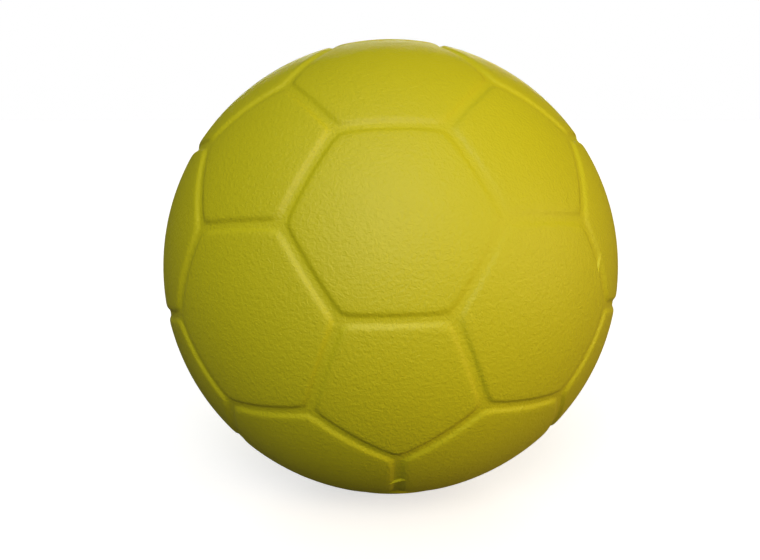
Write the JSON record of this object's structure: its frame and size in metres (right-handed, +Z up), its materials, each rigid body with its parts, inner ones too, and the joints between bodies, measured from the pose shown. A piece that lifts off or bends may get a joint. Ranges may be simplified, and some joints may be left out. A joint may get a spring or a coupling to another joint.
{
  "type": "foam ball",
  "caption": "Solid soft-foam ball in a matt yellow coat, with a football panel pattern moulded in as shallow grooves.",
  "frame": {"origin": "the ball's centre", "axes": "+Z up as the ball lies; -Y towards the viewer, +X to the viewer's right. The mould's own axis, through the middle of a pentagon, leans 56.9 degrees from +Z."},
  "size_m": [0.063, 0.063, 0.063],
  "materials": {
    "coat": "matt yellow flexible coat with a faint leather grain",
    "skin": "dense, smooth, pale yellow foam skin",
    "core": "fine-celled cream foam"
  },
  "bodies": {
    "root": {"colour_coat": "coat", "skin": "skin", "foam_core": "core"}
  },
  "joints": []
}
